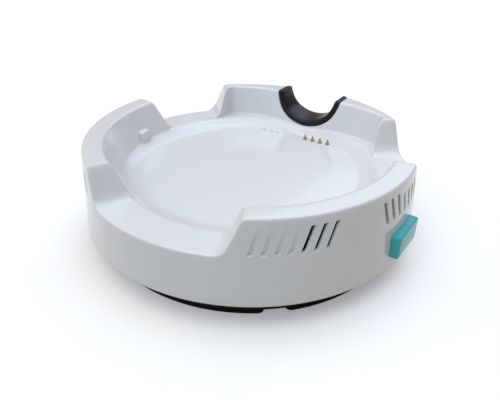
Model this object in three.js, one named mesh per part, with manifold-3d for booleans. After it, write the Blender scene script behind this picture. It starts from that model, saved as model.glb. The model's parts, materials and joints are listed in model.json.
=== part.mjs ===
// Round docking base for a wet and dry floor scrubber.
// The scrubber's head sits in the shallow tray between three raised lugs, its neck leans in the
// black cradle at the back, and sprung contacts in the tray floor charge it.
// Millimetres, +Z up, z = 0 on the floor. The front faces -Y and the cradle stands at +Y.
// An azimuth is measured from the front (-Y) towards the right-hand side (+X).

import * as THREE from 'three';
import { mergeVertices } from 'three/addons/utils/BufferGeometryUtils.js';
import Module from 'manifold-3d';

const wasm = await Module();
wasm.setup();

// ---- Driving dimensions ----

const gap = 0.3; // between pieces that touch
const wall = 3; // moulded wall of the housing
const past = 5; // how far a cutter runs past the face it opens
const around = 80; // facets round the drum

const height = 92; // floor to lug tops
const skirtFoot = 20.5; // lower edge of the white skirt
const dipLevel = 61.8; // rim between the lugs
const trayFloor = 55.2;
const rimRadius = 145;
const skirtRadius = 149.2; // the wall narrows evenly from here to the rim radius at the lug tops
const bowlRadius = 115; // top of the tray's fillet
const bowlFillet = 30;
const lugTopInner = 127.5; // the lugs' inner walls lean out from bowlRadius to this

const sideLug = { centre: 63, half: 34, fillet: 12.6 }; // azimuths, one lug on each side
const backLug = { centre: 180, half: 43.2, fillet: 15 };
const lugSlope = 66; // degrees from level, at the lugs' ends

const pocket = { halfWidth: 88, back: 112, middleHalf: 61, middleBack: 113, middleTop: 118.5 };
const cradle = { axisZ: 100.6, inner: 33.6, outer: 39.5, front: 112.6, frontTop: 118.8, back: 145.5 };

const vent = { centre: 64.2, low: 64.2, high: 84, width: 3.5, pitch: 3.6, lean: 2.7, count: 7, through: 3, offset: 22.3 };
const nub = { azimuth: 84, width: 11, reach: 111.6, top: 72 };

const contact = { row: 92.5, first: 12, pitch: 8.4, count: 4, tip: 60.7 };
const slot = { halfLength: 1.7, halfWidth: 0.9 };
const button = { azimuth: 86.2, face: 155, halfWidth: 20, low: 30.5, high: 50.5, clear: 0.4 };
const jack = { level: 38, hole: 6.3, ring: 6, bore: 3, pin: 1, face: 146.4 };

// The moulding is drawn as two: the dish of the tray, and the ring of wall and lugs round it
const seam = { radius: 111, low: 40, high: 70 };

const coverRadius = 134;
const coverFoot = 4;
const coverSkin = 2.5;
const coverFlange = skirtRadius - wall - 0.6;
const foot = { height: coverFoot - gap, outer: 133.2, inner: 121, gapAzimuth: 40, gapHalf: 3.2 };
// Fixing posts under the tray, each over a screw recess in the cover
const boss = { circle: 104, azimuths: [0, 60, 125, 235, 300], radius: 4.2, foot: 16.3, bore: 1.9, boreTop: 46 };
const recess = { outer: 6, inner: 4, top: 12, postTop: 16 };
// Posts that the contact board is screwed to
const boardPost = { x: [-51, 0, 51], radius: 3, foot: 35.9, bore: 1.3, boreTop: 47 };

// The button stands proud on one side only, so the drum's axis lies this far to -X of the middle
// of the whole object, where the origin is.
const axisShift = (button.face - skirtRadius) / 2;

// ---- Finishes ----

const finish = (color, roughness, metalness = 0) =>
  new THREE.MeshStandardMaterial({ color, roughness, metalness });
const white = finish(0xe3e6ea, 0.25);
const black = finish(0x131311, 0.35);
const rubber = finish(0x1c1c1c, 0.85);
const teal = finish(0x34b0b2, 0.35);
const gold = finish(0xc9a862, 0.3, 1);
const steel = finish(0xb8babd, 0.35, 1);
const nylon = finish(0x2b2d30, 0.6);
const board = finish(0x1f5a3a, 0.5);
const aluminium = finish(0xa9adb2, 0.45, 1);
const wire = finish(0x9c1f1c, 0.5);
const copper = finish(0x9a5b2c, 0.5);

// ---- Shape helpers ----

const radians = THREE.MathUtils.degToRad;
const onCircle = (radius, azimuth) =>
  [radius * Math.sin(radians(azimuth)), -radius * Math.cos(radians(azimuth))];

function signedVolume(position, index) {
  const [a, b, c] = [new THREE.Vector3(), new THREE.Vector3(), new THREE.Vector3()];
  let total = 0;
  for (let i = 0; i < index.length; i += 3) {
    a.fromBufferAttribute(position, index[i]);
    b.fromBufferAttribute(position, index[i + 1]);
    c.fromBufferAttribute(position, index[i + 2]);
    total += a.dot(b.cross(c)) / 6;
  }
  return total;
}

// A geometry with its shared corners merged, no collapsed triangles and its faces pointing out
function closed(geometry) {
  const bare = geometry.clone();
  bare.deleteAttribute('normal');
  bare.deleteAttribute('uv');
  const merged = mergeVertices(bare, 1e-4);
  const all = Array.from(merged.index.array);
  let index = [];
  for (let i = 0; i < all.length; i += 3) {
    const [a, b, c] = all.slice(i, i + 3);
    if (a !== b && b !== c && c !== a) index.push(a, b, c);
  }
  if (signedVolume(merged.attributes.position, index) < 0) index = index.reverse();
  merged.setIndex(index);
  return merged;
}

function solid(geometry) {
  const mesh = closed(geometry);
  return new wasm.Manifold(new wasm.Mesh({
    numProp: 3,
    vertProperties: new Float32Array(mesh.attributes.position.array),
    triVerts: new Uint32Array(mesh.index.array),
  }));
}

function geometryOf(body) {
  const mesh = body.getMesh();
  const geometry = new THREE.BufferGeometry();
  geometry.setAttribute('position', new THREE.BufferAttribute(mesh.vertProperties, 3));
  geometry.setIndex(new THREE.BufferAttribute(mesh.triVerts, 1));
  return geometry;
}

const cut = (body, ...cutters) => cutters.reduce((rest, cutter) => rest.subtract(solid(cutter)), body);
const join = (body, ...extras) => extras.reduce((sum, extra) => sum.add(solid(extra)), body);

// A profile of [radius, z] points turned about +Z
function turned(profile, segments = around) {
  const points = profile.map(([r, z]) => new THREE.Vector2(r, z));
  return new THREE.LatheGeometry(points, segments).rotateX(Math.PI / 2);
}

function block([x0, x1], [y0, y1], [z0, z1]) {
  return new THREE.BoxGeometry(x1 - x0, y1 - y0, z1 - z0)
    .translate((x0 + x1) / 2, (y0 + y1) / 2, (z0 + z1) / 2);
}

function post(x, y, radius, [z0, z1], segments = 16) {
  return new THREE.CylinderGeometry(radius, radius, z1 - z0, segments)
    .rotateX(Math.PI / 2).translate(x, y, (z0 + z1) / 2);
}

// A cylinder along X from x0 to x1
function bar(y, z, radius, [x0, x1], segments = 16) {
  return new THREE.CylinderGeometry(radius, radius, x1 - x0, segments)
    .rotateZ(Math.PI / 2).translate((x0 + x1) / 2, y, z);
}

// A unit box of the given divisions whose corners, counted 0 to 1 each way, are put where place says
function shaped(place, across = 1, deep = 1, up = 1) {
  const geometry = new THREE.BoxGeometry(1, 1, 1, across, deep, up);
  const position = geometry.attributes.position;
  for (let i = 0; i < position.count; i += 1) {
    const counted = [position.getX(i) + 0.5, position.getY(i) + 0.5, position.getZ(i) + 0.5];
    position.setXYZ(i, ...place(...counted));
  }
  return geometry;
}

// ---- The housing ----

// Height of a lug's end at an arc distance out from its top corner: a straight slope, then a fillet
function endHeight(distance, fillet) {
  const steep = Math.tan(radians(lugSlope));
  const drop = height - dipLevel;
  const filletRise = fillet * (1 - Math.cos(radians(lugSlope)));
  const filletRun = fillet * Math.sin(radians(lugSlope));
  const slopeRun = (drop - filletRise) / steep;
  if (distance <= slopeRun) return height - distance * steep;
  const left = slopeRun + filletRun - distance;
  if (left <= 0) return dipLevel;
  return dipLevel + fillet - Math.sqrt(fillet * fillet - left * left);
}

// The space above the rim between two lugs, from the first one's end to the second one's
function dipCutter(first, second, inset) {
  const over = height + past;
  const rise = (past + inset) / Math.tan(radians(lugSlope));
  const drawn = 0.65 * inset; // moves the sloping ends in by the wall's thickness
  const steps = [-rise, 10, 13, 16, 20, 25].map((step) => step - drawn);
  const degreesPer = 180 / (Math.PI * rimRadius);
  const stations = steps.map((step) => [first.end + step * degreesPer, endHeight(step + drawn, first.fillet)]);
  const tail = steps.map((step) => [second.start - step * degreesPer, endHeight(step + drawn, second.fillet)]);
  const from = stations.at(-1)[0];
  const to = tail.at(-1)[0];
  const middles = Math.ceil((to - from) / 4);
  for (let i = 1; i < middles; i += 1) {
    stations.push([from + ((to - from) * i) / middles, dipLevel]);
  }
  stations.push(...tail.reverse());
  const last = stations.length - 1;
  return shaped((u, v, w) => {
    const [azimuth, level] = stations[Math.round(u * last)];
    const [x, y] = onCircle(v > 0.5 ? rimRadius + 3 * past : bowlRadius - 2 * past, azimuth);
    return [x, y, w > 0.5 ? over + 1 : level - inset];
  }, last);
}

// The recess in the back lug, square to the front, with its middle leaning back behind the cradle
function pocketCutters(inset) {
  const low = dipLevel - inset;
  const reach = [60, pocket.back + inset];
  const wide = pocket.halfWidth + inset;
  const middle = pocket.middleHalf + inset;
  const leaning = shaped((u, v, w) => {
    const back = (w > 0.5 ? pocket.middleTop + 1 : pocket.middleBack) + inset;
    return [(2 * u - 1) * middle, v > 0.5 ? back : reach[0], w > 0.5 ? height + past : low];
  });
  return [block([-wide, wide], reach, [low, height + past]), leaning];
}

function troughCutter(inset) {
  const radius = cradle.outer + gap + inset;
  return new THREE.CylinderGeometry(radius, radius, 60, 48).translate(0, 130, cradle.axisZ);
}

// The housing's outer form, or with an inset the space inside its walls
function housingForm(inset) {
  const floorZ = trayFloor - inset;
  const below = inset > 0 ? past : 0;
  const profile = [
    [0, skirtFoot - below],
    [skirtRadius - inset, skirtFoot - below],
    [skirtRadius - inset, skirtFoot],
    [rimRadius - inset, height - inset],
    [lugTopInner + 0.66 * inset, height - inset],
  ];
  const rise = dipLevel - trayFloor;
  const run = Math.sqrt(2 * bowlFillet * rise - rise * rise);
  for (let i = 0; i <= 4; i += 1) {
    const out = run * (1 - i / 4);
    const lift = bowlFillet - Math.sqrt(bowlFillet * bowlFillet - out * out);
    const extra = i === 0 ? 0.66 * inset : 0;
    profile.push([bowlRadius - run + out + extra, floorZ + lift]);
  }
  profile.push([0, floorZ]);
  const lugs = [-sideLug.centre, sideLug.centre, backLug.centre].map((centre, i) => {
    const { half, fillet } = i === 2 ? backLug : sideLug;
    return { start: centre - half, end: centre + half, fillet };
  });
  const [left, right, back] = lugs;
  const dips = [[left, right], [right, back], [{ ...back, end: back.end - 360 }, left]];
  const cutters = dips.map(([first, second]) => dipCutter(first, second, inset));
  // The back lug is filled forward to its flat inner wall
  const depth = [trayFloor - inset, height - inset];
  const within = solid(turned([[0, 0], [rimRadius - inset - 0.5, 0], [rimRadius - inset - 0.5, 100], [0, 100]]));
  const filling = solid(block([-80, 80], [pocket.back + inset, 145], depth)).intersect(within);
  const ring = solid(turned(profile)).add(filling);
  return cut(ring, ...cutters, ...pocketCutters(inset), troughCutter(inset));
}

// One slanted slot. Those nearest the lug's middle go through the wall; the others are blind, deep
// at the bottom and running out flush at the top.
function ventCutter(azimuth, lean, blind) {
  const deep = blind ? [rimRadius - 0.4, rimRadius + 0.4] : [rimRadius - 3 * past, rimRadius - 3 * past];
  return shaped((u, v, w) => {
    const turn = azimuth + lean * w + ((u - 0.5) * vent.width * 180) / (Math.PI * rimRadius);
    const inner = w > 0.5 ? deep[1] : deep[0];
    const [x, y] = onCircle(v > 0.5 ? rimRadius + past : inner, turn);
    return [x, y, w > 0.5 ? vent.high : vent.low];
  });
}

function ventCutters() {
  const cutters = [];
  for (const side of [-1, 1]) {
    for (const end of [-1, 1]) {
      for (let i = 0; i < vent.count; i += 1) {
        const fromMiddle = vent.offset + (i - (vent.count - 1) / 2) * vent.pitch;
        const azimuth = side * (vent.centre + end * fromMiddle);
        cutters.push(ventCutter(azimuth, -side * end * vent.lean, i >= vent.through));
      }
    }
  }
  return cutters;
}

const barrel = { outer: 1.9, bore: 1.5, mouth: 1.25, top: 57.4, lipBottom: 55.6, bottom: 36.2, floor: 38 };
const contactX = (i) => contact.first + i * contact.pitch;
const contacts = [0, 1, 2, 3].slice(0, contact.count);
const pressTurn = radians(button.azimuth - 90);

function upperHousing() {
  let body = housingForm(0).subtract(housingForm(wall));
  for (const side of [-1, 1]) {
    const stud = block([nub.reach, bowlRadius + 8], [-nub.width / 2, nub.width / 2], [dipLevel - 2, nub.top]);
    body = join(body, stud.rotateZ(radians(side * nub.azimuth - 90)));
  }
  for (const azimuth of boss.azimuths) {
    const [x, y] = onCircle(boss.circle, azimuth);
    body = join(body, post(x, y, boss.radius, [boss.foot, trayFloor - 1]));
    body = cut(body, post(x, y, boss.bore, [boss.foot - past, boss.boreTop]));
  }
  for (const x of boardPost.x) {
    body = join(body, post(x, contact.row, boardPost.radius, [boardPost.foot, trayFloor - 1], 12));
    body = cut(body, post(x, contact.row, boardPost.bore, [boardPost.foot - past, boardPost.boreTop], 12));
  }
  for (const i of contacts) {
    const slotX = -contactX(i);
    const through = [trayFloor - wall - 1, trayFloor + 1];
    const along = [slotX - slot.halfLength, slotX + slot.halfLength];
    const across = [contact.row - slot.halfWidth, contact.row + slot.halfWidth];
    body = cut(body, post(contactX(i), contact.row, barrel.outer + 0.4, through), block(along, across, through));
  }
  const window = block(
    [rimRadius - 3 * past, button.face + past],
    [-button.halfWidth - button.clear, button.halfWidth + button.clear],
    [button.low - button.clear, button.high + button.clear],
  ).rotateZ(pressTurn);
  const jackHole = new THREE.CylinderGeometry(jack.hole, jack.hole, 4 * past, 24).translate(0, jack.face, jack.level);
  return cut(body, window, jackHole, ...ventCutters());
}

// The housing's two pieces, parted by a slit as wide as the gap, the dish first
function housingPieces() {
  const { radius, low, high } = seam;
  const inside = radius - gap;
  const slit = turned([[inside, low], [radius, low], [radius, high], [inside, high], [inside, low]]);
  const pieces = cut(upperHousing(), slit).decompose();
  return pieces.sort((a, b) => a.boundingBox().max[0] - b.boundingBox().max[0]);
}

// ---- The underside ----

const coverTop = skirtFoot + gap;
const mainBoard = { halfX: 62, halfY: 42, under: 22, thick: 1.6, screwX: 56, screwY: 36, post: 3.2, pilot: 1.5 };
const bracket = {
  plate: [123.5, 126], foot: [104, 126], arms: [98, 124], half: 24, top: 51, pilot: 1.5, screwY: 19, screwX: 112,
};

function bottomCover() {
  const floorTop = coverFoot + coverSkin;
  let body = solid(turned([
    [0, coverFoot],
    [coverRadius, coverFoot],
    [coverRadius, coverTop],
    [coverFlange, coverTop],
    [coverFlange, coverTop + coverSkin],
    [coverRadius - coverSkin, coverTop + coverSkin],
    [coverRadius - coverSkin, floorTop],
    [0, floorTop],
  ]));
  for (const azimuth of boss.azimuths) {
    const [x, y] = onCircle(boss.circle, azimuth);
    body = join(body, post(x, y, recess.outer, [coverFoot + 1, recess.postTop]));
    body = cut(body, post(x, y, recess.inner, [0, recess.top]), post(x, y, boss.bore, [0, boss.foot + past]));
  }
  for (const x of [-mainBoard.screwX, mainBoard.screwX]) {
    for (const y of [-mainBoard.screwY, mainBoard.screwY]) {
      body = join(body, post(x, y, mainBoard.post, [coverFoot + 1, mainBoard.under - gap], 12));
      body = cut(body, post(x, y, mainBoard.pilot, [floorTop + 1, mainBoard.under + 1], 12));
    }
  }
  for (const y of [-bracket.screwY, bracket.screwY]) {
    const hole = post(bracket.screwX, y, bracket.pilot, [coverFoot + 1, floorTop + 1], 12).rotateZ(pressTurn);
    body = cut(body, hole);
  }
  return body;
}

// One of the four rubber feet, an arc under the cover's edge
function rubberFoot(middle) {
  const half = middle % 180 === 0 ? foot.gapAzimuth - foot.gapHalf : 90 - foot.gapAzimuth - foot.gapHalf;
  return shaped((u, v, w) => {
    const radius = v > 0.5 ? foot.outer : foot.inner;
    return [...onCircle(radius, middle + (2 * u - 1) * half), w * foot.height];
  }, 20);
}

// ---- The cradle ----

// The U-shaped liner: a band between two arcs, its front face leaning with the wall behind the tray
// and its back trimmed to the drum
function cradleLiner() {
  const flat = height + 0.4 - cradle.axisZ;
  const shape = new THREE.Shape();
  const from = Math.asin(flat / cradle.outer);
  const fromInner = Math.asin(flat / cradle.inner);
  shape.absarc(0, 0, cradle.outer, Math.PI - from, from + 2 * Math.PI, false);
  shape.absarc(0, 0, cradle.inner, fromInner + 2 * Math.PI, Math.PI - fromInner, true);
  shape.closePath();
  const band = new THREE.ExtrudeGeometry(shape, { depth: 1, bevelEnabled: false, curveSegments: 26 });
  band.rotateX(Math.PI / 2);
  const position = band.attributes.position;
  for (let i = 0; i < position.count; i += 1) {
    const z = position.getZ(i) + cradle.axisZ;
    const lean = ((cradle.frontTop - cradle.front) * (z - dipLevel)) / (height - dipLevel);
    const y = position.getY(i) < -0.5 ? cradle.front + lean : rimRadius + past;
    position.setXYZ(i, position.getX(i), y, z);
  }
  return solid(band).intersect(solid(turned([[0, 40], [cradle.back, 40], [cradle.back, 120], [0, 120]])));
}

// ---- The contacts ----

const seat = { top: trayFloor - wall - gap, bottom: boardPost.foot }; // the blocks under the tray floor

const blockSpan = { near: 5.5, far: 45, halfDepth: 8 };

function contactBlock(side) {
  const ends = [side * blockSpan.near, side * blockSpan.far].sort((a, b) => a - b);
  const across = [contact.row - blockSpan.halfDepth, contact.row + blockSpan.halfDepth];
  let body = solid(block(ends, across, [seat.bottom, seat.top]));
  for (const i of contacts) {
    const x = side * contactX(i);
    const bore = side > 0
      ? post(x, contact.row, barrel.outer + gap, [seat.bottom - 1, seat.top + 1])
      : block([x - 2.2, x + 2.2], [contact.row - 1.5, contact.row + 1.5], [seat.bottom - 1, seat.top + 1]);
    body = cut(body, bore);
  }
  return body;
}

function contactBarrel(x) {
  return turned([
    [0, barrel.bottom],
    [barrel.outer, barrel.bottom],
    [barrel.outer, barrel.top],
    [barrel.mouth, barrel.top],
    [barrel.mouth, barrel.lipBottom],
    [barrel.bore, barrel.lipBottom],
    [barrel.bore, barrel.floor],
    [0, barrel.floor],
  ], 12).translate(x, contact.row, 0);
}

const piston = { top: barrel.lipBottom - 0.2, bottom: 49.5 };

// The gilded plunger, held in its barrel by the piston below the barrel's lip
function contactPlunger(x) {
  return turned([
    [0, piston.bottom],
    [1.35, piston.bottom],
    [1.35, piston.top],
    [1.05, piston.top],
    [1.05, contact.tip - 0.8],
    [0.7, contact.tip - 0.2],
    [0, contact.tip],
  ], 12).translate(x, contact.row, 0);
}

// A coil spring standing on +Z from z = 0
function coilSpring(radius, wireRadius, length, turns, steps, sides) {
  class Helix extends THREE.Curve {
    getPoint(t) {
      const angle = 2 * Math.PI * turns * t;
      const rise = wireRadius + (length - 2 * wireRadius) * t;
      return new THREE.Vector3(radius * Math.cos(angle), radius * Math.sin(angle), rise);
    }
  }
  const section = new THREE.Shape().absarc(0, 0, wireRadius, 0, 2 * Math.PI, false);
  const outline = new THREE.Shape(section.getSpacedPoints(sides).slice(0, sides));
  return new THREE.ExtrudeGeometry(outline, { steps: turns * steps, extrudePath: new Helix(), bevelEnabled: false });
}

function contactSpring(x) {
  const length = piston.bottom - barrel.floor - 2 * gap;
  return coilSpring(1.05, 0.2, length, 6, 6, 4).translate(x, contact.row, barrel.floor + gap);
}

function socketBlade(x) {
  return block([x - 1.4, x + 1.4], [contact.row - 0.5, contact.row + 0.5], [seat.bottom + 0.4, seat.top - 1]);
}

const contactBoard = { half: 57, near: 82, far: 105, under: 34 };

function contactCircuit() {
  let body = solid(block(
    [-contactBoard.half, contactBoard.half],
    [contactBoard.near, contactBoard.far],
    [contactBoard.under, contactBoard.under + 1.6],
  ));
  for (const x of boardPost.x) body = cut(body, post(x, contact.row, 1.4, [30, 40], 12));
  return body;
}

// ---- The button ----
// These pieces are drawn with the press along -X and then turned to the button's azimuth.

const pressZ = (button.low + button.high) / 2;
const flange = { inner: 138.2, outer: 140.2, overlap: 1.8 };
const stem = { end: 122.1, radius: 2.5 };
const springSeat = { near: bracket.plate[1] + gap, far: flange.inner - gap };
const pressSwitch = { back: 101, front: 115, plungerFront: 121.8, plungerBack: 108.5 };

// A slab whose outer face follows the drum
function curvedSlab(radius, back, halfWidth, [low, high]) {
  return shaped((u, v, w) => {
    const y = (2 * v - 1) * halfWidth;
    return [u > 0.5 ? Math.sqrt(radius * radius - y * y) : back, y, w > 0.5 ? high : low];
  }, 1, 8);
}

function pushButton() {
  const skin = 2;
  const { face, halfWidth, low, high } = button;
  const rim = flange.overlap;
  const outer = solid(curvedSlab(face, flange.inner, halfWidth, [low, high]));
  const lip = block([flange.inner, flange.outer], [-halfWidth - rim, halfWidth + rim], [low - rim, high + rim]);
  const hollow = curvedSlab(face - skin, flange.inner - past, halfWidth - skin, [low + skin, high - skin]);
  return join(cut(join(outer, lip), hollow), bar(0, pressZ, stem.radius, [stem.end, face - 1]));
}

function buttonSpring() {
  return coilSpring(3.9, 0.45, springSeat.far - springSeat.near, 5, 10, 5)
    .rotateY(Math.PI / 2).translate(springSeat.near, 0, pressZ);
}

function buttonBracket() {
  const arms = [-1, 1].map((side) => {
    const [a, b] = [side * 15, side * 18];
    return block(bracket.arms, [Math.min(a, b), Math.max(a, b)], [pressZ - 10.5, pressZ + 9.5]);
  });
  const base = coverFoot + coverSkin + gap;
  const wide = [-bracket.half, bracket.half];
  const plate = solid(block(bracket.plate, wide, [base, bracket.top]));
  let body = join(plate, block(bracket.foot, wide, [base, base + 3]), ...arms);
  for (const y of [-bracket.screwY, bracket.screwY]) {
    body = cut(body, post(bracket.screwX, y, bracket.pilot, [base - 1, base + past], 12));
  }
  return cut(body, bar(0, pressZ, stem.radius + 0.5, [120, 130]));
}

function switchBody() {
  const body = solid(block([pressSwitch.back, pressSwitch.front], [-6, 6], [pressZ - 5, pressZ + 5]));
  return cut(body, bar(0, pressZ, 1.9, [pressSwitch.back + 1.5, pressSwitch.front + 1]));
}

// ---- The power side ----

// A barrel-plug inlet: its face ring is flush with the skirt at the back
function powerInlet() {
  const { face } = jack;
  const ring = new THREE.CylinderGeometry(jack.ring, jack.ring, 4, 24).translate(0, face - 2, jack.level);
  const body = solid(block([-7, 7], [129, face - 3.8], [jack.level - 6, jack.level + 6]));
  const bore = new THREE.CylinderGeometry(jack.bore, jack.bore, 11, 20).translate(0, face - 4.5, jack.level);
  const pin = new THREE.CylinderGeometry(jack.pin, jack.pin, 10, 12).translate(0, face - 6, jack.level);
  return join(cut(join(body, ring), bore), pin);
}

function mainCircuit() {
  const { halfX, halfY, under, thick, screwX, screwY } = mainBoard;
  let body = solid(block([-halfX, halfX], [-halfY, halfY], [under, under + thick]));
  for (const x of [-screwX, screwX]) {
    for (const y of [-screwY, screwY]) body = cut(body, post(x, y, 1.7, [under - 1, under + 3], 12));
  }
  return body;
}

const boardTop = mainBoard.under + mainBoard.thick + gap;

function capacitors() {
  return [[-40, 20], [-26, 20]].map(([x, y]) => post(x, y, 5, [boardTop, boardTop + 18]));
}

function heatSink() {
  const base = block([10, 46], [-30, 10], [boardTop, boardTop + 3]);
  const fins = [0, 1, 2, 3, 4, 5].map((i) => {
    const x = 10 + (i * 34) / 5;
    return block([x, x + 2], [-30, 10], [boardTop + 2, boardTop + 17]);
  });
  return join(solid(base), ...fins);
}

function chargingCoil() {
  return new THREE.TorusGeometry(8, 3.2, 8, 20).translate(-34, -20, boardTop + 3.3);
}

function plugHeader(x, y, z) {
  return block([x - 5, x + 5], [y - 3, y + 3], [z, z + 6]);
}

// A lead clipped between two connectors, through the points given
function lead(points, radius = 1.4) {
  const path = new THREE.CatmullRomCurve3(points.map((point) => new THREE.Vector3(...point)));
  const outline = new THREE.Shape(
    [0, 1, 2, 3, 4, 5, 6, 7].map((i) => {
      const angle = (i * Math.PI) / 4;
      return new THREE.Vector2(radius * Math.cos(angle), radius * Math.sin(angle));
    }),
  );
  return new THREE.ExtrudeGeometry(outline, { steps: 14, extrudePath: path, bevelEnabled: false });
}

// ---- Fasteners ----

// A pan-head screw driven upwards, its head's underside at z = 0
function screwUp(shank, length, head, thick) {
  return turned([[0, -thick], [head, -thick], [head, 0], [shank, 0], [shank, length], [0, length + 0.5]], 12);
}

const screwDown = (...sizes) => screwUp(...sizes).rotateX(Math.PI);

const corners = [-1, 1].flatMap((a) => [-1, 1].map((b) => [a * mainBoard.screwX, b * mainBoard.screwY]));

// ---- Assembly ----

const group = new THREE.Group();
const drum = new THREE.Group();
drum.position.x = -axisShift;
const press = new THREE.Group();
press.rotation.z = pressTurn;
drum.add(press);
group.add(drum);

function add(name, shape, material, parent = drum) {
  const mesh = new THREE.Mesh(geometryOf(shape.getMesh ? shape : solid(shape)), material);
  mesh.name = name;
  parent.add(mesh);
}

// One node for each place, numbered from 1
function addEach(name, shapeAt, places, material, parent = drum) {
  places.forEach((place, i) => add(`${name}_${i + 1}`, shapeAt(place), material, parent));
}

const screwAt = (kind) => (place) => kind.clone().translate(...place);

const [dish, ring] = housingPieces();
add('upper_housing', ring, white);
add('tray_dish', dish, white);
add('bottom_cover', bottomCover(), black);
['front', 'right', 'back', 'left'].forEach((side, i) => {
  add(`${side}_foot`, rubberFoot(i * 90), rubber);
});
add('cradle_liner', cradleLiner(), black);

const pinPlaces = contacts.map(contactX);
addEach('contact_plunger', contactPlunger, pinPlaces, gold);
addEach('contact_spring', contactSpring, pinPlaces, steel);
addEach('contact_barrel', contactBarrel, pinPlaces, gold);
addEach('socket_blade', socketBlade, pinPlaces.map((x) => -x), gold);
add('plunger_block', contactBlock(1), nylon);
add('socket_block', contactBlock(-1), nylon);
add('contact_board', contactCircuit(), board);
addEach(
  'contact_board_screw',
  screwAt(screwUp(1, 9, 2.2, 1.6)),
  boardPost.x.map((x) => [x, contact.row, contactBoard.under - gap]),
  steel,
);

add('push_button', pushButton(), teal, press);
add('button_spring', buttonSpring(), steel, press);
add('button_bracket', buttonBracket(), nylon, press);
addEach(
  'bracket_screw',
  screwAt(screwDown(1.2, 4.2, 2.4, 1.8)),
  [-bracket.screwY, bracket.screwY].map((y) => [bracket.screwX, y, coverFoot + coverSkin + 3 + 2 * gap]),
  steel,
  press,
);
add('button_switch', switchBody(), nylon, press);
add('switch_plunger', bar(0, pressZ, 1.6, [pressSwitch.plungerBack, pressSwitch.plungerFront], 12), white, press);
add('button_board', block([98.8, 100.4], [-13, 13], [31, 50]), board, press);

add('power_inlet', powerInlet(), nylon);
add('main_board', mainCircuit(), board);
addEach(
  'main_board_screw',
  screwAt(screwDown(1.2, 10, 2.6, 1.8)),
  corners.map(([x, y]) => [x, y, boardTop]),
  steel,
);
addEach('capacitor', (shape) => shape, capacitors(), black);
add('heat_sink', heatSink(), aluminium);
add('charging_coil', chargingCoil(), copper);
add('inlet_header', plugHeader(-12, 36, boardTop), white);
add('contact_header', plugHeader(20, 36, boardTop), white);
add('button_header', plugHeader(54, 0, boardTop), white);
const headerTop = boardTop + 6 + 3 * gap;
add('inlet_lead', lead([
  [-4, 127.8, 38], [-6, 124, 37.5], [-12, 114, 29], [-12, 98, 26], [-12, 70, 31], [-12, 46, 39], [-12, 37, 36],
  [-12, 36, headerTop],
]), wire);
add('contact_lead', lead([
  [20, 92, contactBoard.under - 4 * gap], [20, 91.5, 31], [20, 86, 27], [20, 70, 29], [20, 46, 39], [20, 37, 36],
  [20, 36, headerTop],
]), wire);
add('button_lead', lead([
  [96.5, -6, 40], [93, -6, 40], [84, -5, 38], [70, -2, 38], [58, 0, 38], [54.6, 0, 35], [54, 0, headerTop],
]), wire);
addEach(
  'housing_screw',
  screwAt(screwUp(1.5, 20, 3.4, 2.4)),
  boss.azimuths.map((azimuth) => [...onCircle(boss.circle, azimuth), recess.top - gap]),
  steel,
);

export default group;
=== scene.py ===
import json
import math

import bpy
from mathutils import Matrix, Vector


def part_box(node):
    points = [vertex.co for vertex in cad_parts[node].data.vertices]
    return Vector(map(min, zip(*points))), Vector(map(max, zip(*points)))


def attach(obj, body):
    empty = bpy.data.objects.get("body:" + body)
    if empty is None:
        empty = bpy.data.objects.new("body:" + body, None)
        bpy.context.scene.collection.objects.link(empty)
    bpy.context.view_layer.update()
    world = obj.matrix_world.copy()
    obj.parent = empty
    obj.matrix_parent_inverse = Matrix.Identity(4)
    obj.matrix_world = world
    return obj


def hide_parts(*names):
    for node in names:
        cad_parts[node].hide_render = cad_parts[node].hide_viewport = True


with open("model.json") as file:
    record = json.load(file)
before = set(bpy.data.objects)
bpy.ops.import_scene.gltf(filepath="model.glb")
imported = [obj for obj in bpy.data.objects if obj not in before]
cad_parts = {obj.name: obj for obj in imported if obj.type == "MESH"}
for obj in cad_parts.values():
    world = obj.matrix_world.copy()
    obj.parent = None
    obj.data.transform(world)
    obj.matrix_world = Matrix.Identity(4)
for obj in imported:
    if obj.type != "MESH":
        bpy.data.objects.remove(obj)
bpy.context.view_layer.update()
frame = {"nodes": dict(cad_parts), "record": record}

# Sizes are in millimetres and are turned into metres as a mesh is placed.
# An azimuth is in degrees from the front (-Y) towards the right-hand side (+X).
mm = 0.001
nodes = frame["nodes"]
slotOf = {part["node"]: part["material_slot"] for part in frame["record"]["subparts"]}

linerLow, linerHigh = (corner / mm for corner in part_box("cradle_liner"))
housingLow, housingHigh = (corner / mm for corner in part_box("upper_housing"))
coverLow, coverHigh = (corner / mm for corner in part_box("bottom_cover"))
drumX = (linerLow.x + linerHigh.x) / 2       # the round housing's axis


def only(obj):                               # obj becomes the one that operators act on
    bpy.ops.object.select_all(action="DESELECT")
    obj.select_set(True)
    bpy.context.view_layer.objects.active = obj


def added(name):                             # names what an operator has just added
    obj = bpy.context.object
    obj.name = name
    obj.data.name = name
    return obj


def modified(obj, kind, **settings):
    only(obj)
    modifier = obj.modifiers.new(kind, kind)
    for key, value in settings.items():
        setattr(modifier, key, value)
    bpy.ops.object.modifier_apply(modifier=modifier.name)
    return obj


def placed(obj, place):                      # moves every vertex, from the drum's axis to the frame
    for vertex in obj.data.vertices:
        x, y, z = place(vertex.co)
        vertex.co = Vector((x + drumX, y, z)) * mm
    obj.data.update()
    return obj


def cleaned(obj, reach=0.002):               # merged doubles, then faces turned outwards
    only(obj)
    bpy.ops.object.mode_set(mode="EDIT")
    bpy.ops.mesh.select_all(action="SELECT")
    bpy.ops.mesh.remove_doubles(threshold=reach * mm)
    bpy.ops.mesh.dissolve_degenerate(threshold=reach * mm)
    bpy.ops.mesh.normals_make_consistent(inside=False)
    bpy.ops.object.mode_set(mode="OBJECT")
    return obj


def smoothed(obj, angle=35):
    only(obj)
    bpy.ops.object.shade_smooth_by_angle(angle=math.radians(angle))
    return obj


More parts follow.
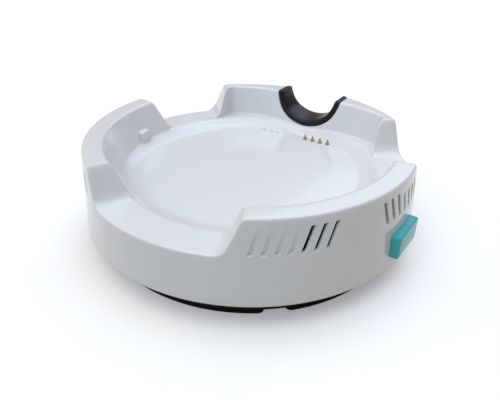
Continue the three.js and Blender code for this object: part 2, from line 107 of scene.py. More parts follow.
def rod(name, sides, lengths):               # a round bar of unit radius, one unit long per length
    bpy.ops.object.select_all(action="DESELECT")
    bpy.ops.mesh.primitive_circle_add(vertices=sides, radius=1, fill_type="NGON")
    obj = added(name)
    bpy.ops.object.mode_set(mode="EDIT")
    bpy.ops.mesh.select_all(action="SELECT")
    for _ in range(lengths):
        bpy.ops.mesh.extrude_region_move(TRANSFORM_OT_translate={"value": (0, 0, 1)})
    bpy.ops.object.mode_set(mode="OBJECT")
    return obj


def lofted(name, sides, lengths, place):     # place takes the length's number and the angle round it
    obj = rod(name, sides, lengths)
    placed(obj, lambda co: place(round(co.z), math.atan2(co.y, co.x)))
    return cleaned(obj)


def spun(name, profile, axisAt=(0, 0), steps=96):   # a profile of (radius, z) turned about +Z
    bpy.ops.object.select_all(action="DESELECT")
    bpy.ops.mesh.primitive_plane_add(size=1)
    obj = added(name)
    bpy.ops.object.mode_set(mode="EDIT")
    bpy.ops.mesh.select_all(action="SELECT")
    bpy.ops.mesh.merge(type="CENTER")
    start = (profile[0][0], 0, profile[0][1])
    bpy.ops.transform.translate(value=start)
    for (fromRadius, fromZ), (toRadius, toZ) in zip(profile, profile[1:]):
        step = (toRadius - fromRadius, 0, toZ - fromZ)
        bpy.ops.mesh.extrude_region_move(TRANSFORM_OT_translate={"value": step})
    bpy.ops.mesh.select_all(action="SELECT")
    bpy.ops.mesh.spin(steps=steps, angle=math.tau, center=(0, 0, 0), axis=(0, 0, 1))
    bpy.ops.object.mode_set(mode="OBJECT")
    placed(obj, lambda co: (co.x + axisAt[0], co.y + axisAt[1], co.z))
    return cleaned(obj)


def joined(objs):
    bpy.ops.object.select_all(action="DESELECT")
    for obj in objs:
        obj.select_set(True)
    bpy.context.view_layer.objects.active = objs[0]
    bpy.ops.object.join()
    return objs[0]


def carved(obj, tools, operation="DIFFERENCE"):
    tool = joined(tools)
    modified(obj, "BOOLEAN", object=tool, operation=operation, solver="EXACT")
    bpy.data.objects.remove(tool)
    return obj


def softMin(a, b, reach):
    near = max(reach - abs(a - b), 0) / reach
    return min(a, b) - near * near * reach / 4


def softMax(a, b, reach):
    return -softMin(-a, -b, reach)


def eased(share):
    share = min(max(share, 0), 1)
    return share * share * (3 - 2 * share)


def turned(before, corner, after, steps):    # points of a soft corner between two others
    points = []
    for i in range(steps + 1):
        t = i / steps
        shares = ((1 - t) ** 2, 2 * t * (1 - t), t ** 2)
        weighed = list(zip(shares, (before, corner, after)))
        points.append(tuple(sum(share * point[axis] for share, point in weighed) for axis in (0, 1)))
    return points


def between(start, end, parts):              # evenly spaced points, both ends left out
    return [tuple(a + (b - a) * i / parts for a, b in zip(start, end)) for i in range(1, parts)]


def toward(start, end, distance):
    length = math.dist(start, end) or 1
    return tuple(a + (b - a) * distance / length for a, b in zip(start, end))


def onCircle(radius, azimuth):
    turn = math.radians(azimuth)
    return radius * math.sin(turn), -radius * math.cos(turn)


# A rounded oblong's outline; sides of the rod fall evenly on its four corners
def oblong(angle, halfWidth, halfLength, corner, sides):
    angle += math.pi / sides
    along = math.cos(angle)
    up = math.sin(angle)
    return (
        math.copysign(halfWidth - corner, along) + corner * along,
        math.copysign(halfLength - corner, up) + corner * up,
    )


class Signal:                                # a socket that can stand in a sum
    def __init__(self, recipe, socket):
        self.recipe = recipe
        self.socket = socket

    def reckoned(self, operation, first, second):
        return self.recipe.node("ShaderNodeMath", {"operation": operation}, {0: first, 1: second})

    def __add__(self, other):
        return self.reckoned("ADD", self, other)

    def __mul__(self, other):
        return self.reckoned("MULTIPLY", self, other)

    __radd__ = __add__
    __rmul__ = __mul__


class Recipe:                                # one material and the nodes behind its shader
    def __init__(self, name, constants):
        self.material = bpy.data.materials.new(name)
        self.material.use_nodes = True
        self.tree = self.material.node_tree
        self.shader = self.tree.nodes["Principled BSDF"]
        self.place = self.node("ShaderNodeTexCoord", output="Object")
        self.feed(self.shader, constants)

    def feed(self, node, inputs):
        for key, value in inputs.items():
            if isinstance(value, Signal):
                self.tree.links.new(value.socket, node.inputs[key])
            else:
                node.inputs[key].default_value = value

    def node(self, kind, settings=None, inputs=None, output=0):
        made = self.tree.nodes.new(kind)
        for key, value in (settings or {}).items():
            if key == "stops":
                for element, (position, shade) in zip(made.color_ramp.elements, value):
                    element.position = position
                    element.color = (shade, shade, shade, 1)
            else:
                setattr(made, key, value)
        self.feed(made, inputs or {})
        return Signal(self, made.outputs[output])

    def noise(self, scale, detail=3, stretch=(1, 1, 1)):
        mapped = self.node("ShaderNodeMapping", None, {"Vector": self.place, "Scale": stretch})
        inputs = {"Vector": mapped, "Scale": scale, "Detail": detail}
        return self.node("ShaderNodeTexNoise", None, inputs)

    def mix(self, factor, first, second):
        return self.node("ShaderNodeMix", {"data_type": "RGBA"}, {0: factor, 6: first, 7: second}, 2)

    def stops(self, signal, *stops):
        return self.node("ShaderNodeValToRGB", {"stops": stops}, {"Fac": signal})

    def bump(self, height, depth, strength=1.0):
        settings = {"Height": height, "Distance": depth, "Strength": strength}
        return self.node("ShaderNodeBump", None, settings)

    def made(self, **signals):
        names = {"baseColor": "Base Color", "roughness": "Roughness", "normal": "Normal"}
        self.feed(self.shader, {names[key]: value for key, value in signals.items()})
        return self.material


def tint(red, green, blue):
    return (red, green, blue, 1)


# Moulded plastic: a slow drift of colour and gloss, and a skin too fine to see as lumps
def moulded(name, light, dark, roughness, drift=0.05, grain=900, depth=0.00003, constants=None):
    recipe = Recipe(name, constants or {})
    slow = recipe.noise(14, 2)
    fine = recipe.noise(grain, 3)
    return recipe.made(
        baseColor=recipe.mix(slow, light, dark),
        roughness=slow * drift + (fine * drift + (roughness - drift)),
        normal=recipe.bump(fine, depth, 0.35),
    )


def platedMetal(name, light, dark, roughness, stretch=(1, 1, 1)):
    recipe = Recipe(name, {"Metallic": 1.0})
    lines = recipe.noise(700, 4, stretch)
    cloud = recipe.noise(160, 2)
    return recipe.made(
        baseColor=recipe.mix(cloud, light, dark),
        roughness=lines * 0.14 + (roughness - 0.07),
        normal=recipe.bump(lines, 0.00002, 0.5),
    )


def circuitBoard():
    recipe = Recipe("circuitBoard", {"Coat Weight": 0.3})
    cells = recipe.node(
        "ShaderNodeTexBrick",
        {"offset": 0.5},
        {"Vector": recipe.place, "Scale": 180, "Mortar Size": 0.03,
         "Color1": tint(0, 0, 0), "Color2": tint(0, 0, 0), "Mortar": tint(1, 1, 1)},
    )
    tracks = recipe.stops(cells, (0.4, 0), (0.6, 1))
    cloud = recipe.noise(60)
    mask = recipe.mix(cloud, tint(0.012, 0.10, 0.045), tint(0.02, 0.14, 0.06))
    return recipe.made(
        baseColor=recipe.mix(tracks * 0.6, mask, tint(0.05, 0.26, 0.11)),
        roughness=cloud * 0.1 + 0.3,
        normal=recipe.bump(tracks, 0.00004),
    )


def woundCopper():
    recipe = Recipe("woundCopper", {"Metallic": 0.8})
    turns = recipe.node(
        "ShaderNodeTexWave",
        {"wave_type": "RINGS"},
        {"Vector": recipe.place, "Scale": 300, "Distortion": 0.4},
    )
    return recipe.made(
        baseColor=recipe.mix(turns, tint(0.30, 0.09, 0.03), tint(0.62, 0.25, 0.09)),
        roughness=turns * 0.1 + 0.3,
        normal=recipe.bump(turns, 0.0002),
    )


print("finishes")
finishes = {
    "white_housing": moulded(
        "glossWhite", tint(0.80, 0.815, 0.835), tint(0.79, 0.805, 0.825), 0.15, 0.04, 1400, 0.00001,
        constants={"Coat Weight": 0.35, "Coat Roughness": 0.06, "IOR": 1.5},
    ),
    "black_cover": moulded(
        "texturedBlack", tint(0.003, 0.0028, 0.0027), tint(0.005, 0.0046, 0.0044),
        0.6, 0.1, 1500, 0.00008,
        constants={"Specular IOR Level": 0.12},
    ),
    "black_cradle": moulded(
        "satinBlack", tint(0.004, 0.004, 0.0035), tint(0.006, 0.006, 0.005), 0.3, 0.06, 1200,
        constants={"Specular IOR Level": 0.32},
    ),
    "foot_rubber": moulded(
        "mattRubber", tint(0.004, 0.004, 0.004), tint(0.008, 0.008, 0.0076), 0.85, 0.1, 1000, 0.0001,
        constants={"Specular IOR Level": 0.15},
    ),
    "teal_button": moulded(
        "satinTeal", tint(0.015, 0.43, 0.45), tint(0.02, 0.40, 0.42), 0.28, 0.05, 1300,
        constants={"Coat Weight": 0.2, "Coat Roughness": 0.2},
    ),
    "gilt_contact": platedMetal(
        "giltContact", tint(0.58, 0.47, 0.27), tint(0.46, 0.37, 0.2), 0.32,
    ),
    "screw_steel": platedMetal(
        "zincSteel", tint(0.62, 0.62, 0.63), tint(0.48, 0.49, 0.52), 0.35,
    ),
    "black_nylon": moulded(
        "blackNylon", tint(0.018, 0.018, 0.02), tint(0.028, 0.028, 0.03), 0.55, 0.1, 1100, 0.00006,
    ),
    "circuit_board": circuitBoard(),
    "header_white": moulded(
        "headerNylon", tint(0.72, 0.69, 0.58), tint(0.66, 0.63, 0.52), 0.45, 0.08,
    ),
    "fin_aluminium": platedMetal(
        "drawnAluminium", tint(0.60, 0.61, 0.63), tint(0.5, 0.51, 0.53), 0.4, (1, 0.05, 1),
    ),
    "copper_winding": woundCopper(),
    "capacitor_sleeve": moulded(
        "shrunkSleeve", tint(0.015, 0.015, 0.03), tint(0.03, 0.03, 0.05), 0.35,
    ),
    "lead_red": moulded("redSleeve", tint(0.33, 0.01, 0.01), tint(0.25, 0.008, 0.008), 0.4),
}
for name, node in nodes.items():
    node.data.materials.clear()
    node.data.materials.append(finishes[slotOf[name]])


def kept(obj, body, *stoodFor):              # a finished piece goes to its body and takes its finish
    slot = slotOf[stoodFor[0]]
    obj.data.materials.clear()
    obj.data.materials.append(finishes[slot])
    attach(obj, body)
    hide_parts(*stoodFor)
    return obj


drum = {
    "columns": 720,                          # round the drum
    "top": housingHigh.z,
    "foot": housingLow.z,
    "skirtRadius": (housingHigh.y - housingLow.y) / 2,
    "rimRadius": 145,                        # the wall narrows evenly to this at the lug tops
    "wall": 3,
    "dip": 61.8,                             # rim between the lugs
    "trayFloor": 55.2,
    "bowlRadius": 115,
    "bowlFillet": 30,
    "lugTopInner": 127.5,
    "slope": 66,                             # degrees, at the lugs' ends
    "topRound": 2.6,
    "rimRound": 1.9,
    "skirtRound": 1.6,
    "slopeTurn": 5,                          # how far a lug's end blends into its top
    "ledgeTurn": 1.6,
    "footTurn": 2.2,
    "footSpread": 3,                         # the ledge's edge lies this far out between the lugs
    "roundShare": 0.4,                       # the most of a height or width that one round takes
    "fullRise": 20,
    "lowRise": 6,
    "inward": 1.2,
    "underReach": 1.1,
}
lugs = (
    {"centre": -63, "half": 34, "fillet": 12.6},
    {"centre": 63, "half": 34, "fillet": 12.6},
    {"centre": 180, "half": 43.2, "fillet": 15},
)
recess = {                                   # corners (x, y) of the back lug's hollow, mirrored about X
    "foot": ((88, 103.5), (64, 111.4), (50, 112.9)),
    "top": ((87, 105.5), (65, 114.8), (50, 119.2)),
    "rounding": (6, 1.2, 1.2),
    "endAzimuth": 60,
    "squareAzimuth": 40,
    "blend": 2,
}

bowlRise = drum["dip"] - drum["trayFloor"]
flatRadius = drum["bowlRadius"] - math.sqrt(2 * drum["bowlFillet"] * bowlRise - bowlRise ** 2)


def wallRadius(level):                       # the drum's outside
    share = (level - drum["foot"]) / (drum["top"] - drum["foot"])
    return drum["skirtRadius"] + (drum["rimRadius"] - drum["skirtRadius"]) * share


def apart(azimuth, other):
    return abs((azimuth - other + 180) % 360 - 180)


def lugHeight(azimuth):
    slope = math.radians(drum["slope"])
    level = drum["dip"]
    for lug in lugs:
        out = math.radians(apart(azimuth, lug["centre"]) - lug["half"]) * drum["rimRadius"]
        fillet = lug["fillet"]
        filletRun = fillet * math.sin(slope)
        slopeRun = (drum["top"] - drum["dip"] - fillet * (1 - math.cos(slope))) / math.tan(slope)
        left = slopeRun + filletRun - out
        if left <= 0:
            continue
        if out <= slopeRun:
            end = drum["top"] - out * math.tan(slope)
        else:
            end = drum["dip"] + fillet - math.sqrt(fillet ** 2 - left ** 2)
        level = max(level, softMin(drum["top"], end, drum["slopeTurn"]))
    return level


def innerRadius(azimuth, level):             # the lugs' wall towards the tray
    share = (level - drum["dip"]) / (drum["top"] - drum["dip"])
    cone = drum["bowlRadius"] + (drum["lugTopInner"] - drum["bowlRadius"]) * share
    turn = math.radians(apart(azimuth, 180))
    if turn > math.radians(recess["endAzimuth"]):
        return cone
    side = max(math.sin(turn), 1e-6)
    ahead = math.cos(turn)
    ends = zip(recess["foot"], recess["top"])
    corners = [toward(foot, top, share * math.dist(foot, top)) for foot, top in ends]
    corners.append((0, corners[-1][1]))
    reach = corners[0][0] / side
    for (x1, y1), (x2, y2), rounding in zip(corners, corners[1:], recess["rounding"]):
        along = (y2 - y1) * side + (x1 - x2) * ahead
        reach = softMin(reach, ((y2 - y1) * x1 + (x1 - x2) * y1) / along, rounding)
    isSquare = turn < math.radians(recess["squareAzimuth"])
    return reach if isSquare else softMax(cone, reach, recess["blend"])


def bowlHeight(radius):                      # the tray's floor, its fillet and the ledge round it
    out = radius - flatRadius
    if out <= 0:
        return drum["trayFloor"]
    if out >= 0.9 * drum["bowlFillet"]:
        return drum["dip"]
    rise = drum["bowlFillet"] - math.sqrt(drum["bowlFillet"] ** 2 - out ** 2)
    return softMin(drum["trayFloor"] + rise, drum["dip"], drum["ledgeTurn"])


# The moulding's section at an azimuth, from the tray's middle over the rim and back inside
def drumSection(azimuth):
    top = lugHeight(azimuth)
    rise = top - drum["dip"]
    spread = drum["footSpread"] * (1 - eased(rise / drum["lowRise"]))
    wallFoot = innerRadius(azimuth, drum["dip"]) + spread
    most = drum["roundShare"]
    footReach = min(drum["footTurn"], most * rise)
    arcEnd = min(drum["bowlRadius"] + 4, wallFoot - footReach)
    ledgeEnd = wallFoot - footReach
    wallTop = (max(innerRadius(azimuth, top), wallFoot), top)
    corner = (wallFoot, bowlHeight(wallFoot))
    plateauWidth = wallRadius(top) - wallTop[0]
    innerRound = min(drum["topRound"], most * rise, most * plateauWidth)
    growth = (drum["topRound"] - drum["rimRound"]) * eased(rise / drum["fullRise"])
    outerRound = min(drum["rimRound"] + growth, most * plateauWidth)

    points = [(flatRadius * share, drum["trayFloor"]) for share in (0, 0.15, 0.4, 0.7, 0.9, 1)]
    for start, end, parts in ((flatRadius, arcEnd, 12), (arcEnd, ledgeEnd, 3)):
        points += [(radius, bowlHeight(radius)) for radius, _ in between((start, 0), (end, 0), parts)]
    points += turned((ledgeEnd, bowlHeight(ledgeEnd)), corner, toward(corner, wallTop, footReach), 4)
    wallEnd = toward(wallTop, corner, innerRound)
    points += between(points[-1], wallEnd, 4)
    points += turned(wallEnd, wallTop, (wallTop[0] + innerRound, top), 6)
    edge = (wallRadius(top), top)
    plateau = (edge[0] - outerRound, top)
    points += between(points[-1], plateau, 3)
    points += turned(plateau, edge, (wallRadius(top - outerRound), top - outerRound), 6)
    skirtEdge = (drum["skirtRadius"], drum["foot"])
    skirtEnd = (wallRadius(drum["foot"] + drum["skirtRound"]), drum["foot"] + drum["skirtRound"])
    points += between(points[-1], skirtEnd, 7)
    points += turned(skirtEnd, skirtEdge, (drum["skirtRadius"] - drum["inward"], drum["foot"]), 4)

    wall = drum["wall"]
    reach = drum["underReach"]
    under = min(lugHeight(azimuth - reach), lugHeight(azimuth + reach), top) - wall
    floorUnder = drum["dip"] - wall
    points.append((drum["skirtRadius"] - wall, drum["foot"]))
    points.append((wallRadius(under) - wall, under))
    points.append((wallTop[0] + reach * wall, under))
    points.append((wallFoot + reach * wall, floorUnder))
    for radius in (min(drum["bowlRadius"] + 2, wallFoot), flatRadius + 11, flatRadius + 5, flatRadius):
        points.append((radius, bowlHeight(radius) - wall))
    points.append((0, drum["trayFloor"] - wall))
    return points


def drumShell():                             # a sphere's rings are pulled into the section's places
    rings = len(drumSection(0)) - 1
    bpy.ops.object.select_all(action="DESELECT")
    bpy.ops.mesh.primitive_uv_sphere_add(segments=drum["columns"], ring_count=rings, radius=1)
    obj = added("drumHousing")
    step = 360 / drum["columns"]
    sections = [drumSection(column * step) for column in range(drum["columns"])]

    def place(co):
        ring = round(math.acos(min(max(co.z, -1), 1)) / math.pi * rings)
        azimuth = math.degrees(math.atan2(co.x, -co.y)) % 360
        radius, level = sections[round(azimuth / step) % drum["columns"]][ring]
        x, y = onCircle(radius, azimuth)
        return x, y, level

    placed(obj, place)
    return cleaned(obj)


vents = {
    "centre": 64.2, "low": 63.6, "high": 84, "width": 3.5, "corner": 0.9, "lip": 0.45,
    "count": 7, "through": 3, "offset": 22.3, "pitch": 3.6, "lean": 2.7, "blindDepth": 3.0,
}
nub = {"azimuth": 84, "halfWidth": 6.4, "halfDepth": 8, "reach": 112.9, "top": 72.4, "round": 2.6}
contacts = {
    "row": 92.5, "first": 12, "pitch": 8.4, "count": 4, "hole": 2.2, "halfLength": 1.7, "halfWidth": 0.9,
}
press = {
    "azimuth": 86.2, "face": 155, "halfWidth": 20, "low": 30.5, "high": 50.5, "clear": 0.4,
    "corner": 1.8, "stem": 2.5, "skin": 1.5, "flange": 1.8, "bend": 0.0011,
}
jack = {"level": 38, "hole": 6.3, "face": 146.4}
cradle = {
    "axisZ": 100.6, "inner": 33.6, "outer": 39.5, "clear": 0.3, "round": 2.6, "tuck": 2.2,
    "levels": 88, "reach": 10, "frontTop": 118.8, "bevel": 1.9,
}
bosses = {
    "circle": 104, "azimuths": (0, 60, 125, 235, 300), "radius": 4.2, "foot": 16.3,
    "bore": 1.9, "boreTop": 46,
}


# One slanted slot's cutter: flared where it leaves the wall; a blind one's floor runs out at its top
def ventTool(azimuth, lean, blind):
    sides = 24
    halfLength = (vents["high"] - vents["low"]) / 2

    def place(level, angle):
        across, up = oblong(angle, vents["width"] / 2, halfLength, vents["corner"], sides)
        share = (up + halfLength) / (2 * halfLength)
        z = vents["low"] + 2 * halfLength * share
        surface = wallRadius(z)
        depth = vents["blindDepth"] * (1 - share) - 0.3 if blind else 12
        floor = surface - depth
        throat = max(surface - vents["lip"], floor + 0.05)
        radius = (floor, throat, surface + 1)[level]
        flare = max(radius - surface + vents["lip"], 0)
        across += math.copysign(flare * 0.8, across)
        z += math.copysign(flare * 0.8, up)
        x, y = onCircle(radius, azimuth + lean * share + math.degrees(across / radius))
        return x, y, z

    return lofted("ventTool", sides, 2, place)


def ventTools():
    tools = []
    for side in (-1, 1):
        for end in (-1, 1):
            for i in range(vents["count"]):
                fromMiddle = vents["offset"] + (i - (vents["count"] - 1) / 2) * vents["pitch"]
                azimuth = side * (vents["centre"] + end * fromMiddle)
                tools.append(ventTool(azimuth, -side * end * vents["lean"], i >= vents["through"]))
    return tools


def pressed(x, y, z):                        # from the button's own direction to the drum's
    turn = math.radians(press["azimuth"] - 90)
    return x * math.cos(turn) - y * math.sin(turn), x * math.sin(turn) + y * math.cos(turn), z


pressMiddle = (press["low"] + press["high"]) / 2
pressHalfHeight = (press["high"] - press["low"]) / 2


def windowTool():
    stations = ((130, 0), (148.1, 0), (149.1, 0.5), (152, 2.4))

    def place(level, angle):
        x, flare = stations[level]
        grown = press["clear"] + flare
        across, up = oblong(
            angle, press["halfWidth"] + grown, pressHalfHeight + grown, press["corner"] + grown, 32
        )
        bend = press["bend"] * across * across * (level > 0)
        return pressed(x - bend, across, pressMiddle + up)

    return lofted("windowTool", 32, len(stations) - 1, place)


def bar(name, radius, start, end, sides=32):  # a plain cylinder between two points
    start, end = Vector(start), Vector(end)
    turn = (end - start).to_track_quat("Z", "Y")

    def place(level, angle):
        spoke = Vector((radius * math.cos(angle), radius * math.sin(angle), 0))
        return (start, end)[level] + turn @ spoke

    return lofted(name, sides, 1, place)


def tucked(share):                           # the cradle's arms come in towards their ends
    return cradle["tuck"] * eased((abs(share) - 0.45) / 0.55)


def troughTool():
    full = math.acos((cradle["axisZ"] - linerHigh.z) / cradle["outer"])

    def place(level, angle):
        radius = cradle["outer"] + cradle["clear"] - tucked(angle / full)
        return radius * math.sin(angle), (100, 160)[level], cradle["axisZ"] - radius * math.cos(angle)

    return lofted("troughTool", 160, 1, place)


def contactX(i):
    return contacts["first"] + i * contacts["pitch"]


def slotTool(x):
    def place(level, angle):
        along, across = oblong(angle, contacts["halfLength"], contacts["halfWidth"], 0.6, 16)
        z = (drum["trayFloor"] - 5, drum["trayFloor"] - 0.3, drum["trayFloor"] + 0.4)[level]
        grow = (1, 1, 1.35)[level]
        return x + along * grow, contacts["row"] + across * grow, z

    return lofted("slotTool", 16, 2, place)


# The small block on a side lug's inner wall, soft at its top and sides
def nubBlock(side):
    stations = (0, 0.25, 0.5, 0.75, 1)
    low = drum["dip"] - 4

    def place(level, angle):
        across, out = oblong(angle, nub["halfWidth"], nub["halfDepth"], nub["round"], 32)
        share = stations[min(level, 4)]
        inset = nub["round"] * (1 - math.cos(share * math.pi / 2)) if level else 0
        z = low if level == 0 else nub["top"] - nub["round"] * (1 - math.sin(share * math.pi / 2))
        across *= 1 - inset / nub["halfWidth"]
        out *= 1 - inset / nub["halfDepth"]
        point = (nub["reach"] + nub["halfDepth"] + out, across, z)
        turn = Matrix.Rotation(math.radians(side * nub["azimuth"] - 90), 3, "Z")
        return turn @ Vector(point)

    return lofted("nubBlock", 32, 5, place)


print("drum housing")
housing = drumShell()
growths = [nubBlock(-1), nubBlock(1)]
for azimuth in bosses["azimuths"]:
    x, y = onCircle(bosses["circle"], azimuth)
    growths.append(bar("boss", bosses["radius"], (x, y, bosses["foot"]), (x, y, drum["trayFloor"] - 1)))
carved(housing, growths, "UNION")
tools = ventTools() + [windowTool()]
tools.append(troughTool())
tools.append(bar("jackTool", jack["hole"], (0, 136, jack["level"]), (0, 160, jack["level"]), 48))
for i in range(contacts["count"]):
    x = contactX(i)
    ends = ((x, contacts["row"], drum["trayFloor"] - 6), (x, contacts["row"], drum["trayFloor"] + 6))
    tools.append(bar("contactTool", contacts["hole"], *ends))
    tools.append(slotTool(-x))
for azimuth in bosses["azimuths"]:
    x, y = onCircle(bosses["circle"], azimuth)
    tools.append(bar("boreTool", bosses["bore"], (x, y, bosses["foot"] - 5), (x, y, bosses["boreTop"])))
carved(housing, tools)
smoothed(housing, 38)
kept(housing, "root", "upper_housing", "tray_dish")


def cradleLiner():
    sides = 32
    half = (cradle["outer"] - cradle["inner"]) / 2
    middle = (cradle["outer"] + cradle["inner"]) / 2
    drop = cradle["axisZ"] - linerHigh.z
    frontLow = linerLow.y
    lean = (cradle["frontTop"] - frontLow) / (drum["top"] - drum["dip"])
    reach = cradle["reach"]

    def place(level, angle):
        thick, deep = oblong(angle, half, reach, cradle["round"], sides)
        share = 2 * level / cradle["levels"] - 1
        radius = middle + thick - tucked(share)
        turn = share * math.acos(drop / radius)
        x = radius * math.sin(turn)
        z = cradle["axisZ"] - radius * math.cos(turn)
        if deep < 0:
            y = frontLow + lean * (z - drum["dip"]) + reach + deep
        else:
            y = math.sqrt(linerHigh.y ** 2 - x * x) - reach + deep
        return x, y, z

    obj = lofted("neckCradle", sides, cradle["levels"], place)
    bevel = {"width": cradle["bevel"] * mm, "segments": 4}
    modified(obj, "BEVEL", limit_method="ANGLE", angle_limit=math.radians(50), **bevel)
    return smoothed(obj, 40)


print("neck cradle")
kept(cradleLiner(), "root", "cradle_liner")


def buttonCap():
    sides = 48
    skin = press["skin"]
    face = press["face"]
    flange = press["flange"]
    # each station: how far out, how much wider than the cap, and whether it is the round stem
    stations = [(122.1, 0, True), (138.2, 0, True)]
    stations += [(138.2, flange, False), (140.2, flange, False), (140.2, 0, False)]
    stations += [(face - skin - 3, 0, False)]
    for i in range(6):
        turn = i * math.pi / 10
        stations.append((face - skin + skin * math.sin(turn), -skin * (1 - math.cos(turn)), False))
    stations += [(face, -3, False), (face, -5.5, False), (face, -8, False)]

    def place(level, angle):
        x, grown, isStem = stations[level]
        if isStem:
            stem = press["stem"]
            return pressed(x, stem * math.cos(angle), pressMiddle + stem * math.sin(angle))
        corner = max(press["corner"] + min(grown, flange), 0.4)
        across, up = oblong(angle, press["halfWidth"] + grown, pressHalfHeight + grown, corner, sides)
        if x > 145:
            x -= face - math.sqrt(face * face - across * across)
        return pressed(x, across, pressMiddle + up)

    return smoothed(lofted("pressButton", sides, len(stations) - 1, place), 40)


print("button")
kept(buttonCap(), "button", "push_button")


barrel = {
    "outer": 1.8, "bore": 1.5, "mouth": 1.2, "top": 57.4, "lipBottom": 55.6, "bottom": 36.2,
    "floor": 38, "edge": 0.35, "mouthEdge": 0.2,
}
plunger = {
    "tip": 60.7, "radius": 0.95, "piston": 1.35, "pistonTop": 55.4, "pistonBottom": 49.5, "round": 1.1,
}


def barrelPiece(i):
    outer = barrel["outer"]
    mouth = barrel["mouth"]
    bore = barrel["bore"]
    top = barrel["top"]
    edge = barrel["edge"]
    lip = barrel["mouthEdge"]
    profile = [(0, barrel["bottom"]), (outer, barrel["bottom"])]
    profile += turned((outer, top - edge), (outer, top), (outer - edge, top), 4)
    profile += turned((mouth + lip, top), (mouth, top), (mouth, top - lip), 3)
    profile += [(mouth, barrel["lipBottom"]), (bore, barrel["lipBottom"])]
    profile += [(bore, barrel["floor"]), (0, barrel["floor"])]
    return smoothed(spun(f"pinBarrel{i + 1}", profile, (contactX(i), contacts["row"]), 40))


def plungerPiece(i):
    p = plunger
    profile = [(0, p["pistonBottom"]), (p["piston"], p["pistonBottom"]), (p["piston"], p["pistonTop"])]
    profile += [(p["radius"], p["pistonTop"])]
    profile += turned((p["radius"], p["tip"] - p["round"]), (p["radius"], p["tip"]), (0, p["tip"]), 8)
    return smoothed(spun(f"sprungPin{i + 1}", profile, (contactX(i), contacts["row"]), 32))


print("contacts")
for i in range(contacts["count"]):
    kept(barrelPiece(i), "root", f"contact_barrel_{i + 1}")
    kept(plungerPiece(i), f"pin_{i + 1}", f"contact_plunger_{i + 1}")


tub = {
    "radius": 134, "foot": coverLow.z, "floor": coverLow.z + 2.5, "skin": 2.5, "edge": 2.2,
    "flangeLow": coverHigh.z - 2.5, "top": coverHigh.z, "flange": (coverHigh.y - coverLow.y) / 2,
    "grooves": (70, 96), "grooveWidth": 3, "grooveDepth": 0.9,
}
screwRecess = {"outer": 6, "inner": 4, "top": 12, "postTop": 16, "shank": 1.9, "shankTop": 20}
boardPosts = {"x": 56, "y": 36, "radius": 3.2, "top": 21.7, "pilot": 1.5}


def coverTub():
    foot = tub["foot"]
    radius = tub["radius"]
    edge = tub["edge"]
    flangeLow = tub["flangeLow"]
    inside = radius - tub["skin"]
    profile = [(0, foot)]
    for groove in tub["grooves"]:
        half = tub["grooveWidth"] / 2
        depth = tub["grooveDepth"]
        profile += [(groove - half, foot), (groove - half + depth, foot + depth)]
        profile += [(groove + half - depth, foot + depth), (groove + half, foot)]
    profile += turned((radius - edge, foot), (radius, foot), (radius, foot + edge), 6)
    profile += turned((radius, flangeLow - 1), (radius, flangeLow), (radius + 1, flangeLow), 4)
    profile += [(tub["flange"], flangeLow), (tub["flange"], tub["top"]), (inside, tub["top"])]
    profile += [(inside, tub["floor"]), (0, tub["floor"])]
    obj = spun("coverTub", profile, steps=240)
    posts = []
    holes = []
    well = screwRecess
    for azimuth in bosses["azimuths"]:
        x, y = onCircle(bosses["circle"], azimuth)
        posts.append(bar("post", well["outer"], (x, y, foot + 1), (x, y, well["postTop"])))
        holes.append(bar("well", well["inner"], (x, y, 0), (x, y, well["top"])))
        holes.append(bar("shank", well["shank"], (x, y, well["top"] - 1), (x, y, well["shankTop"])))
    for x in (-boardPosts["x"], boardPosts["x"]):
        for y in (-boardPosts["y"], boardPosts["y"]):
            top = boardPosts["top"]
            posts.append(bar("post", boardPosts["radius"], (x, y, foot + 1), (x, y, top)))
            holes.append(bar("pilot", boardPosts["pilot"], (x, y, tub["floor"] + 1), (x, y, top + 1)))
    carved(obj, posts, "UNION")
    carved(obj, holes)
    return smoothed(obj, 38)


feet = {
    "outer": 133.2, "inner": 121, "gapAzimuth": 40, "gapHalf": 3.2, "height": 3.7, "corner": 1.1,
    "levels": 72, "thinnest": 0.06,
}


def rubberFoot(name, middle):
    toGap = 90 - feet["gapAzimuth"] if middle % 180 else feet["gapAzimuth"]
    half = toGap - feet["gapHalf"]
    centre = (feet["outer"] + feet["inner"]) / 2
    halfWidth = (feet["outer"] - feet["inner"]) / 2
    halfHeight = feet["height"] / 2
    length = math.radians(half) * centre

    def place(level, angle):
        # the stations crowd towards the ends, which are round
        share = math.sin((level / feet["levels"] - 0.5) * math.pi)
        left = length * (1 - abs(share))
        past = 1 - min(left / halfWidth, 1)
        scale = max(math.sqrt(1 - past * past), feet["thinnest"])
        thin = 1 - 0.55 * max(past - 0.35, 0) ** 2 / 0.42
        across, up = oblong(angle, halfWidth, halfHeight, feet["corner"], 24)
        x, y = onCircle(centre + across * scale, middle + share * half)
        return x, y, feet["height"] - (halfHeight - up) * thin

    return smoothed(lofted(name, 24, feet["levels"], place), 50)


print("underside")
kept(coverTub(), "root", "bottom_cover")
for name, middle in (("front", 0), ("right", 90), ("back", 180), ("left", 270)):
    kept(rubberFoot(f"{name}Foot", middle), "root", f"{name}_foot")


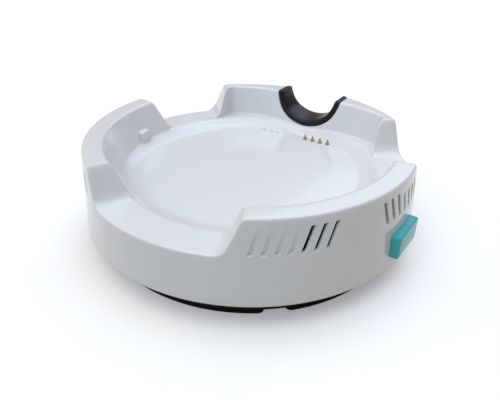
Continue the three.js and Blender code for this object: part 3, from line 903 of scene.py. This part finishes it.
def inletBody():
    face = jack["face"]
    # each station: place along Y, radius, and whether it is the square body behind the ring
    stations = [(129, 6.5, True), (face - 3.8, 6.5, True), (face - 3.8, 6, False)]
    stations += [(face - 0.6, 6, False), (face - 0.15, 5.85, False), (face, 5.4, False)]
    stations += [(face, 3.4, False), (face - 0.4, 3, False), (face - 9, 3, False)]
    stations += [(face - 9, 1, False), (face - 1.6, 1, False), (face - 1.1, 0.5, False)]

    def place(level, angle):
        y, radius, isSquare = stations[level]
        if isSquare:
            across, up = oblong(angle, radius, 6, 0.8, 48)
            return across, y, jack["level"] + up
        return radius * math.cos(angle), y, jack["level"] + radius * math.sin(angle)

    return smoothed(lofted("powerSocket", 48, len(stations) - 1, place), 40)


print("power inlet")
kept(inletBody(), "root", "power_inlet")


def standIn(name, finish):
    floor = added(name)
    floor.data.materials.append(finish)
    floor.visible_diffuse = False            # the floor's own glow stays off the housing


print("stage")
paper = Recipe("palePaper", {
    "Roughness": 0.9, "Specular IOR Level": 0.1,
    "Emission Color": tint(1, 1, 1), "Emission Strength": 0.25,
})
grain = paper.noise(40)
paperFinish = paper.made(baseColor=paper.mix(grain, tint(0.84, 0.83, 0.83), tint(0.82, 0.81, 0.81)))
bpy.ops.object.select_all(action="DESELECT")
bpy.ops.mesh.primitive_plane_add(size=60, location=(0, 0, -0.0002))
standIn("paleFloor", paperFinish)

world = bpy.data.worlds.new("studio")
world.use_nodes = True
bpy.context.scene.world = world
sky = world.node_tree.nodes["Background"]
sky.inputs["Color"].default_value = tint(1, 0.92, 0.78)
sky.inputs["Strength"].default_value = 0.3

# Soft lamps: where each shines from, how wide it looks, and its strength in red, green, blue
lamps = {
    "overhead": {"from": (0, 0, 1), "spread": 60, "strength": (0.93, 1.03, 1.1)},
    "front": {"from": (0, -0.7, 0.7), "spread": 50, "strength": (0.58, 0.72, 0.95)},
    "back": {"from": (0, 0.7, 0.7), "spread": 50, "strength": (0.47, 0.53, 0.7)},
    "left": {"from": (-0.7, -0.25, 0.65), "spread": 50, "strength": (0.46, 0.4, 0.3)},
}


def lamp(name, setting):
    light = bpy.data.lights.new(name, "SUN")
    light.angle = math.radians(setting["spread"])
    light.energy = max(setting["strength"])
    light.color = [part / light.energy for part in setting["strength"]]
    obj = bpy.data.objects.new(name, light)
    bpy.context.scene.collection.objects.link(obj)
    obj.rotation_euler = Vector(setting["from"]).to_track_quat("Z", "Y").to_euler()


for name, setting in lamps.items():
    lamp(name, setting)

viewpoint = {
    "at": (0.212006, -0.360670, 0.265076), "azimuth": 30.7, "down": 30.02, "roll": 1.03, "lens": 36.343,
}
bpy.ops.object.select_all(action="DESELECT")
bpy.ops.object.camera_add(location=viewpoint["at"])
camera = bpy.context.object
camera.data.lens = viewpoint["lens"]
camera.data.sensor_width = 36
camera.data.clip_start = 0.01
turns = (("Z", viewpoint["azimuth"]), ("X", 90 - viewpoint["down"]), ("Z", viewpoint["roll"]))
aim = Matrix.Identity(3)
for axis, angle in turns:
    aim = aim @ Matrix.Rotation(math.radians(angle), 3, axis)
camera.rotation_euler = aim.to_euler()
bpy.context.scene.camera = camera
bpy.context.scene.view_settings.view_transform = "Standard"
